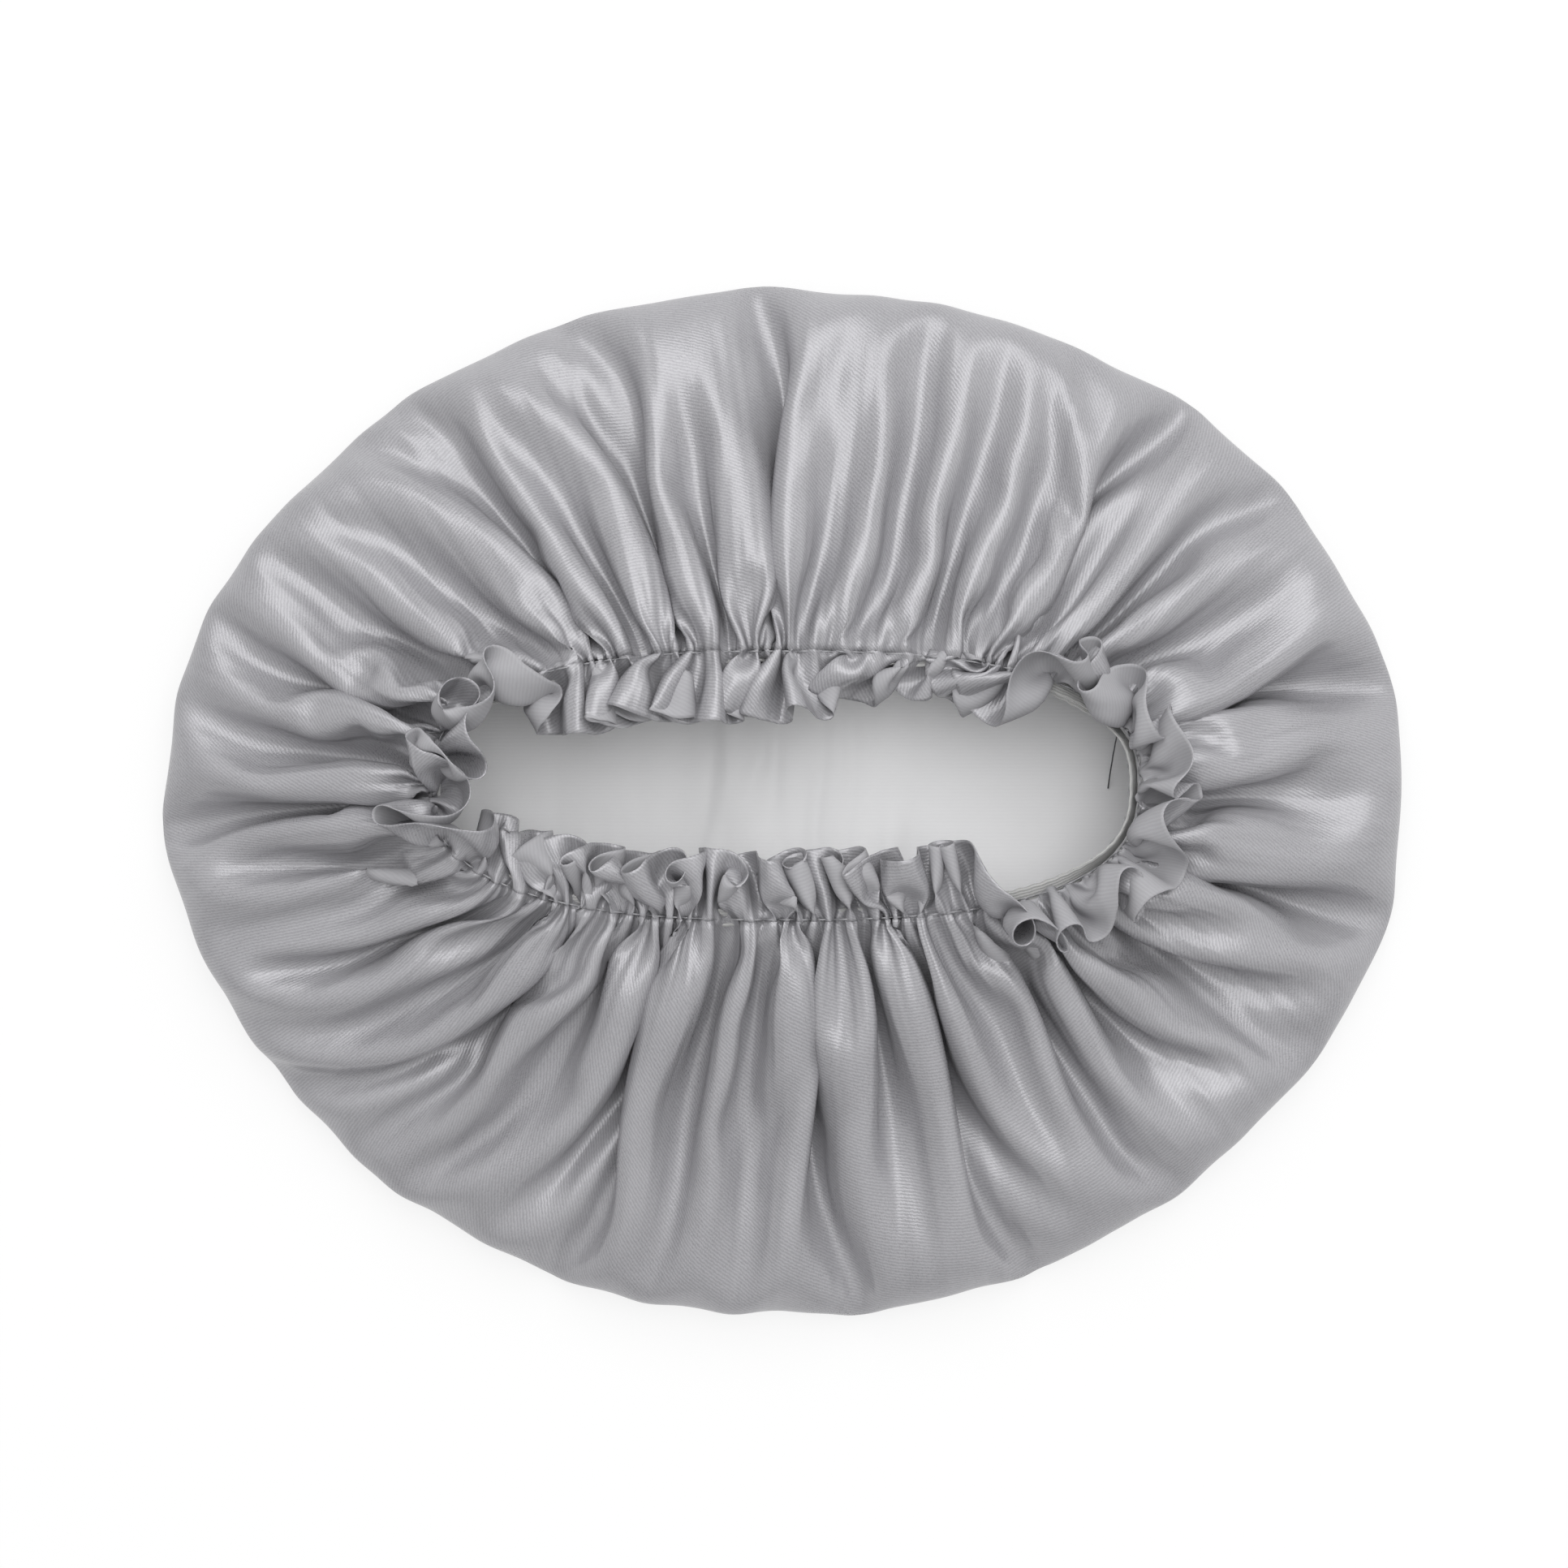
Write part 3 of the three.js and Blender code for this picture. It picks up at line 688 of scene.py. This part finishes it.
satin_face, first, shader = new_material("satin_face")
flat_place = first.node("ShaderNodeTexCoord", output="UV")
slanting = first.node("ShaderNodeMapping", None, {"Vector": flat_place, "Rotation": (0, 0, TWILL_ANGLE)})
twill_wave = {"Vector": slanting, "Scale": WAVE_SCALE, "Distortion": 2.8, "Detail": 2.0,
              "Detail Scale": 2.5}
twill = first.node("ShaderNodeTexWave", {"wave_profile": "SIN"}, twill_wave, "Fac")
yarn = noise(stretched(flat_place, FACE_YARNS), scale=1.0, detail=2.0)
cloud = noise(flat_place, scale=38.0, detail=3.0)
grain = twill * 0.4 + yarn * 0.6
tone = grain * 0.7 + cloud * 0.35 - 0.025
link(mixed(tone, SATIN_DARK, SATIN_LIGHT), shader, "Base Color")
link(FACE_ROUGHNESS + cloud * 0.08 + yarn * 0.08, shader, "Roughness")
around = vector("NORMALIZE", flat_place, {})
radius = vector("LENGTH", flat_place, {}, "Value")
outwards = first.node("ShaderNodeCombineXYZ", None, {"Z": radius})


def creases(number, per_metre):
    """Uneven creases that run out from the middle of the cloth, so many round it."""
    round_place = vector("SCALE", around, {"Scale": number / (2 * math.pi)})
    out_place = vector("SCALE", outwards, {"Scale": per_metre})
    return noise(vector("ADD", round_place, {1: out_place}), scale=1.0, detail=1.0)


near_seam = part_of(radius, *CREASED_CLOTH)
gather_creases = creases(number=260, per_metre=16.0) * near_seam * GATHER_CREASE
long_creases = creases(number=130, per_metre=14.0) * LONG_CREASE
wrinkle = raised(gather_creases + long_creases, strength=1.0, distance=0.001)
link(raised(grain, strength=0.35, distance=0.0002, below=wrinkle), shader, "Normal")
shader.inputs["Metallic"].default_value = FACE_METAL
shader.inputs["Specular IOR Level"].default_value = 0.5

satin_back, first, shader = new_material("satin_back")
flat_place = first.node("ShaderNodeTexCoord", output="UV")
weft_wave = {"Vector": flat_place, "Scale": WAVE_SCALE * 0.9, "Distortion": 2.0, "Detail": 2.0}
weft = first.node("ShaderNodeTexWave", {"bands_direction": "Y"}, weft_wave, "Fac")
yarn = noise(stretched(flat_place, BACK_YARNS), scale=1.0, detail=3.0)
cloud = noise(flat_place, scale=25.0, detail=3.0)
grain = weft * 0.4 + yarn * 0.6
tone = grain * 0.6 + cloud * 0.4
# Painted light: the back is paler where the cloth lies over the white table, for the table's light shining
# through it.
table_lit = part_of(vector("LENGTH", flat_place, {}, "Value"), *TABLE_LIT_RADII)
back_colour_and_table_light = mixed(table_lit, mixed(tone, EDGE_DARK, EDGE_LIGHT), mixed(tone, TABLE_LIT_BACK_DARK, TABLE_LIT_BACK_LIGHT))
link(back_colour_and_table_light, shader, "Base Color")
link(BACK_ROUGHNESS + yarn * 0.15, shader, "Roughness")
fold = noise(stretched(flat_place, SOFT_FOLDS), scale=1.0, detail=1.0, distortion=0.8)
from_left = first.node("ShaderNodeSeparateXYZ", None, {0: flat_place}, "X")
off_middle = first.node("ShaderNodeMath", {"operation": "ABSOLUTE"}, {0: from_left - FOLDED_MIDDLE})
in_middle = part_of(off_middle, *FOLDED_CLOTH)
soft_folds = raised(fold * (in_middle * 0.75 + 0.25), strength=1.0, distance=0.008)
link(raised(grain, strength=0.15, distance=0.0002, below=soft_folds), shader, "Normal")
shader.inputs["Specular IOR Level"].default_value = 0.3

# The crown: the cloth inside the seam. It lies on the table, turns up at the edge of the cap
# and comes back over itself to the mouth, so its dull side shows only through the mouth.
CLOTH_THICKNESS = 0.3
BASE_RINGS = 8
INNERMOST = 0.03


def cloth_piece(name, points, flat, node, closed):
    """A round sheet from rings of points, with its place on the flat cloth as its map."""
    rings = len(points)
    number = np.arange(rings * SPOKES).reshape(rings, SPOKES)
    after = np.roll(number, -1, 1)
    faces = np.stack([number[:-1], after[:-1], after[1:], number[1:]], -1).reshape(-1, 4).tolist()
    places = points.reshape(-1, 3)
    flat = flat.reshape(-1, 3)
    if closed:
        faces += [(len(places), b, a) for a, b in zip(number[0].tolist(), after[0].tolist())]
        places = np.append(places, [points[0].mean(0)], 0)
        flat = np.append(flat, [(0, 0, 0)], 0)
    mesh = bpy.data.meshes.new(name)
    mesh.from_pydata((places * MM).tolist(), [], faces)
    corners = [corner for face in faces for corner in face]
    layer = mesh.uv_layers.new(name="flat_cloth")
    layer.data.foreach_set("uv", (flat[corners, :2] * MM).ravel())
    mesh.polygons.foreach_set("use_smooth", np.ones(len(faces), bool))
    piece = bpy.data.objects.new(name, mesh)
    bpy.context.collection.objects.link(piece)
    mesh.materials.append(satin_face)
    mesh.materials.append(satin_back)
    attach(piece, "root")
    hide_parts(node)
    return piece


def thicken(piece):
    """Gives the sheet its thickness, with the back of the satin on its inner side."""
    thick = piece.modifiers.new("thickness", "SOLIDIFY")
    thick.thickness = CLOTH_THICKNESS * MM
    thick.offset = -1
    thick.material_offset = 1
    thick.material_offset_rim = 0


shrink = np.linspace(INNERMOST, 1, BASE_RINGS + 1)[:-1, None, None]
base = cloth[0] * shrink
base[..., 1] += CLOTH_MIDDLE * (1 - shrink[..., 0])
crown_points = np.concatenate([base, cloth[:CROWN_RINGS + 1]])
crown_flat = np.concatenate([flat_cloth[0] * shrink, flat_cloth[:CROWN_RINGS + 1]])
crown_piece = cloth_piece("satin_crown", crown_points, crown_flat, "crown", True)
thicken(crown_piece)

# The frill: the last 20 mm of the same circle of satin, outside the seam, with a raw cut edge.
# Nothing holds it but the seam, and the threads of its edge stand a little uneven.
CUT_TEETH = 0.35
frill_points = cloth[CROWN_RINGS:].copy()
outward = frill_points[-1] - frill_points[-2]
outward /= np.linalg.norm(outward, axis=-1)[:, None]
tooth = CUT_TEETH * chance.uniform(-1, 1, SPOKES)
frill_points[-1] += outward * tooth[:, None]
frill_piece = cloth_piece("satin_frill", frill_points, flat_cloth[CROWN_RINGS:], "frill", False)
smooth = frill_piece.modifiers.new("smooth", "SUBSURF")
smooth.levels = 1
smooth.render_levels = 1
thicken(frill_piece)

# The elastic: a knitted white tape, sewn flat to the inside of the cloth along the seam, its ends lapped.
# It and the threads follow the seam and lean with the cloth there.
ELASTIC_WIDTH = 5.0
ELASTIC_THICKNESS = 0.8
CLOTH_SOLID = 0.8
CLEARANCE = 0.35
THREAD = 0.4
SIDE_ANGLE = 30.0
END_ANGLE = 130.0
END_BEND = (0.7, 0.97)
CROWN_RISE = 6.0
CROWN_RUN = 46.0
CROWN_ANGLE = math.pi + math.atan2(CROWN_RISE, CROWN_RUN)
STITCH_LENGTH = 4.0
STITCHES = round(SEAM_LENGTH / STITCH_LENGTH)
LAP_PLACE = 26.0
LAP_STITCHES = 3
CLIMB_STITCHES = 4
TAPE_DEPTH = CLOTH_SOLID + CLEARANCE + ELASTIC_THICKNESS / 2
LAP_DEPTH = TAPE_DEPTH + ELASTIC_THICKNESS + CLEARANCE
ON_TAPE = ELASTIC_THICKNESS / 2 + CLEARANCE + THREAD / 2
TAPE_STEPS = 5
TAPE_SCALLOP = 0.06
TAPE_SECTION = [
    (-0.5, -0.3), (-0.5, 0.3), (-0.42, 0.5), (0.42, 0.5), (0.5, 0.3), (0.5, -0.3), (0.42, -0.5),
    (-0.42, -0.5),
]
ELASTIC_LIGHT = (0.58, 0.58, 0.57, 1)
ELASTIC_DARK = (0.36, 0.36, 0.355, 1)
RIB_PERIOD = 0.0008


def seam_frame(stitch):
    """Place, and the directions into the cap and across the tape, at each stitch."""
    turn = (LAP_PLACE + np.asarray(stitch, float) * SEAM_LENGTH / STITCHES) / SEAM_LENGTH
    place = seam_place(turn) + (0, CLOTH_MIDDLE)
    step = seam_direction(turn)
    inward = np.stack([-step[:, 1], step[:, 0]], -1)
    end = smooth_step(np.abs(place[:, 0]) / (MOUTH_LENGTH / 2), *END_BEND)
    between = (np.radians(SIDE_ANGLE + (END_ANGLE - SIDE_ANGLE) * end) + CROWN_ANGLE) / 2

    def towards(angle):
        return np.concatenate([inward * np.cos(angle)[:, None], np.sin(angle)[:, None]], -1)

    middle = np.concatenate([place, np.full((len(place), 1), MOUTH_HEIGHT)], -1)
    return middle, towards(between + np.pi), towards(between - np.pi / 2)


elastic_white, first, shader = new_material("elastic_white")
place = first.node("ShaderNodeTexCoord", output="UV")
rib_wave = {"Vector": place, "Scale": 2 * math.pi / (20 * RIB_PERIOD), "Distortion": 0.6}
ribs = first.node("ShaderNodeTexWave", {"bands_direction": "Y"}, rib_wave, "Fac")
fuzz = noise(place, scale=1800.0, detail=2.0)
link(mixed(ribs * 0.5 + fuzz * 0.5, ELASTIC_DARK, ELASTIC_LIGHT), shader, "Base Color")
link(0.7 + fuzz * 0.2, shader, "Roughness")
link(raised(ribs * 0.7 + fuzz * 0.3, strength=0.5, distance=0.0002), shader, "Normal")

tape_stitch = np.arange((STITCHES + LAP_STITCHES) * TAPE_STEPS + 1) / TAPE_STEPS
middle, inside, across = seam_frame(tape_stitch)
climb = smooth_step(tape_stitch, STITCHES - CLIMB_STITCHES, STITCHES)
depth = TAPE_DEPTH + (LAP_DEPTH - TAPE_DEPTH) * climb
drawn_in = 1 - TAPE_SCALLOP * np.cos(2 * np.pi * tape_stitch)
tape_points = np.stack([
    middle + inside * (depth + through * ELASTIC_THICKNESS)[:, None]
    + across * (wide * ELASTIC_WIDTH * drawn_in)[:, None]
    for wide, through in TAPE_SECTION], 1)
sections, corners = tape_points.shape[:2]
tape_faces = []
tape_uv = []
tape_run = tape_stitch * SEAM_LENGTH / STITCHES
girth = [wide * ELASTIC_WIDTH for wide, _ in TAPE_SECTION]
for i in range(sections - 1):
    for j in range(corners):
        k = (j + 1) % corners
        face = [(i, j), (i, k), (i + 1, k), (i + 1, j)]
        tape_faces.append([section * corners + corner for section, corner in face])
        tape_uv += [(tape_run[section], girth[corner]) for section, corner in face]
for i in (0, sections - 1):
    ends = [i * corners + j for j in range(corners)]
    tape_faces.append(list(ends if i else reversed(ends)))
    tape_uv += [(tape_run[i], wide) for wide in (girth if i else reversed(girth))]
tape_mesh = bpy.data.meshes.new("elastic_tape")
tape_mesh.from_pydata((tape_points.reshape(-1, 3) * MM).tolist(), [], tape_faces)
tape_mesh.uv_layers.new(name="tape").data.foreach_set("uv", (np.array(tape_uv) * MM).ravel())
tape_mesh.materials.append(elastic_white)
tape_piece = bpy.data.objects.new("elastic_tape", tape_mesh)
bpy.context.collection.objects.link(tape_piece)
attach(tape_piece, "root")
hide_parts("elastic_band")

# The threads: spun grey polyester. The needle thread shows outside as one stitch after another,
# and the bobbin thread holds the elastic from inside with a zigzag, sewn closer over the lap.
STITCH_LIFT = 0.25
STITCH_DIP = 0.9
STITCH_SQUARENESS = 6
NEEDLE_STEPS = 6
ZIGZAG = 2.4
TACKS_PER_STITCH = 3
THREAD_LIGHT = (0.40, 0.40, 0.415, 1)
THREAD_DARK = (0.24, 0.24, 0.25, 1)
PLIES = 2200.0


def spun_thread(name, dark, light):
    """Spun thread with lighter and darker plies: (material, shader, plies)."""
    material, first, shader = new_material(name)
    place = first.node("ShaderNodeTexCoord", output="Object")
    ply = noise(place, scale=PLIES, detail=2.0)
    link(mixed(ply, dark, light), shader, "Base Color")
    link(0.5 + ply * 0.2, shader, "Roughness")
    return material, shader, ply


grey_thread, shader, ply = spun_thread("grey_thread", THREAD_DARK, THREAD_LIGHT)
link(raised(ply, strength=0.4, distance=0.0001), shader, "Normal")


def thread_piece(name, points, material, node):
    """A round thread along a row of points."""
    curve = bpy.data.curves.new(name, "CURVE")
    curve.dimensions = "3D"
    curve.bevel_depth = THREAD / 2 * MM
    curve.bevel_resolution = 2
    curve.use_fill_caps = True
    line = curve.splines.new("POLY")
    line.points.add(len(points) - 1)
    weighted = np.concatenate([points * MM, np.ones((len(points), 1))], -1)
    line.points.foreach_set("co", weighted.ravel())
    line.use_smooth = True
    curve.materials.append(material)
    piece = bpy.data.objects.new(name, curve)
    bpy.context.collection.objects.link(piece)
    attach(piece, "root")
    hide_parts(node)
    return piece


stitch = np.arange((STITCHES - 1) * NEEDLE_STEPS + 1) / NEEDLE_STEPS
stitch_turn = (LAP_PLACE / SEAM_LENGTH + stitch / STITCHES) % 1
top = np.interp(stitch_turn, spoke, cloth[CROWN_RINGS, :, 2], period=1)
dip = np.abs(np.cos(np.pi * stitch))**STITCH_SQUARENESS
needle_line = seam_frame(stitch)[0]
needle_line[:, 2] = top + STITCH_LIFT - STITCH_DIP * dip
thread_piece("needle_stitches", needle_line, grey_thread, "needle_thread")


def zigzag(first, last, bends, depth):
    """From side to side across the tape, so often for each stitch, that deep inside the cap."""
    number = np.arange((last - first) * bends + 1)
    middle, inside, across = seam_frame(first + number / bends)
    swing = np.where(number % 2, ZIGZAG / 2, -ZIGZAG / 2)[:, None]
    return middle + inside * depth + across * swing


bobbin_line = zigzag(LAP_STITCHES + 1, STITCHES - CLIMB_STITCHES - 1, 1, TAPE_DEPTH + ON_TAPE)
thread_piece("bobbin_zigzag", bobbin_line, grey_thread, "bobbin_thread")
lap_line = zigzag(0, LAP_STITCHES, TACKS_PER_STITCH, LAP_DEPTH + ON_TAPE)
thread_piece("lap_tacking", lap_line, grey_thread, "lap_tack")

# The loose end: a dark polyester thread left uncut where the sewing ends at the lap.
# It drops from the seam, held there by the last stitch, and its tip lies on the cloth below.
TAIL_LIGHT = (0.12, 0.12, 0.13, 1)
TAIL_DARK = (0.05, 0.05, 0.055, 1)
TAIL_ROUTE = np.array([
    (91.6, 25.4, 32.0), (91.0, 24.6, 31.2), (90.6, 23.6, 29.9), (90.3, 22.5, 28.2), (90.1, 21.3, 26.3),
    (89.9, 20.1, 24.2), (89.7, 18.8, 21.9), (89.6, 17.5, 19.5), (89.4, 16.1, 17.0), (89.3, 14.7, 14.4),
    (89.1, 13.2, 11.7), (89.0, 11.6, 9.0), (88.8, 9.9, 6.4), (88.6, 8.0, 4.0), (88.4, 5.9, 2.1),
    (88.2, 4.2, 1.4),
])
dark_thread, _, _ = spun_thread("dark_thread", TAIL_DARK, TAIL_LIGHT)
tail_piece = thread_piece("thread_end", TAIL_ROUTE, dark_thread, "thread_tail")

# The table, light and camera: a white table under wide soft light from above and the far side,
# seen from straight above through a long lens.
FRAME_WIDTH = 0.4286
CAMERA_HEIGHT = 2.0
CAMERA_PLACE = (-0.0003, 0.0054, CAMERA_HEIGHT)
TABLE_SIZE = 6.0
TABLE_DROP = 0.0002
TABLE_WHITE = (0.86, 0.86, 0.86, 1)
WHITE = (1, 1, 1, 1)
bpy.ops.object.select_all(action="DESELECT")
bpy.ops.mesh.primitive_plane_add(size=TABLE_SIZE, location=(0, 0, -TABLE_DROP))
table = bpy.context.object
table.name = "table"
table_white = bpy.data.materials.new("table_white")
table_white.use_nodes = True
tree = table_white.node_tree
tree.nodes.clear()
first = Socket(tree)
camera_ray = first.node("ShaderNodeLightPath", output="Is Camera Ray")
glossy_ray = first.node("ShaderNodeLightPath", output="Is Glossy Ray")
matt = first.node("ShaderNodeBsdfDiffuse", None, {"Color": TABLE_WHITE})
glow = first.node("ShaderNodeEmission", None, {"Color": WHITE, "Strength": 1.0})
seen = first.node("ShaderNodeMixShader", None, {0: (camera_ray + glossy_ray) * 0.8, 1: matt, 2: glow})
first.node("ShaderNodeOutputMaterial", None, {"Surface": seen}, None)
table.data.materials.append(table_white)

world = bpy.data.worlds.new("soft_room")
bpy.context.scene.world = world
world.use_nodes = True
tree = world.node_tree
tree.nodes.clear()
first = Socket(tree)
camera_ray = first.node("ShaderNodeLightPath", output="Is Camera Ray")
toward = first.node("ShaderNodeTexCoord", output="Generated")
side_x, side_y, up = [first.node("ShaderNodeSeparateXYZ", None, {0: toward}, axis) for axis in "XYZ"]
level = 0.65 + up * 0.25 + side_x * 0.1 + side_y * 0.15
sky = first.node("ShaderNodeBackground", None, {"Color": WHITE, "Strength": level})
white = first.node("ShaderNodeBackground", None, {"Color": WHITE, "Strength": 1.0})
seen = first.node("ShaderNodeMixShader", None, {0: camera_ray, 1: sky, 2: white})
first.node("ShaderNodeOutputWorld", None, {"Surface": seen}, None)


def soft_light(name, place, width, height, power):
    """A wide lamp that faces the middle of the table."""
    light = bpy.data.lights.new(name, "AREA")
    light.shape = "RECTANGLE"
    light.size = width
    light.size_y = height
    light.energy = power
    lamp = bpy.data.objects.new(name, light)
    bpy.context.collection.objects.link(lamp)
    lamp.location = place
    lamp.rotation_euler = lamp.location.to_track_quat("Z", "Y").to_euler()


soft_light("far_window", place=(0.1, 1.0, 1.0), width=1.4, height=0.6, power=5)
soft_light("overhead", place=(0.15, 0.4, 1.7), width=1.4, height=1.1, power=10)

lens = bpy.data.cameras.new("overhead_camera")
lens.sensor_width = 36
lens.lens = lens.sensor_width * CAMERA_HEIGHT / FRAME_WIDTH
camera = bpy.data.objects.new("overhead_camera", lens)
bpy.context.collection.objects.link(camera)
camera.location = CAMERA_PLACE
bpy.context.scene.camera = camera
bpy.context.scene.view_settings.view_transform = "Standard"
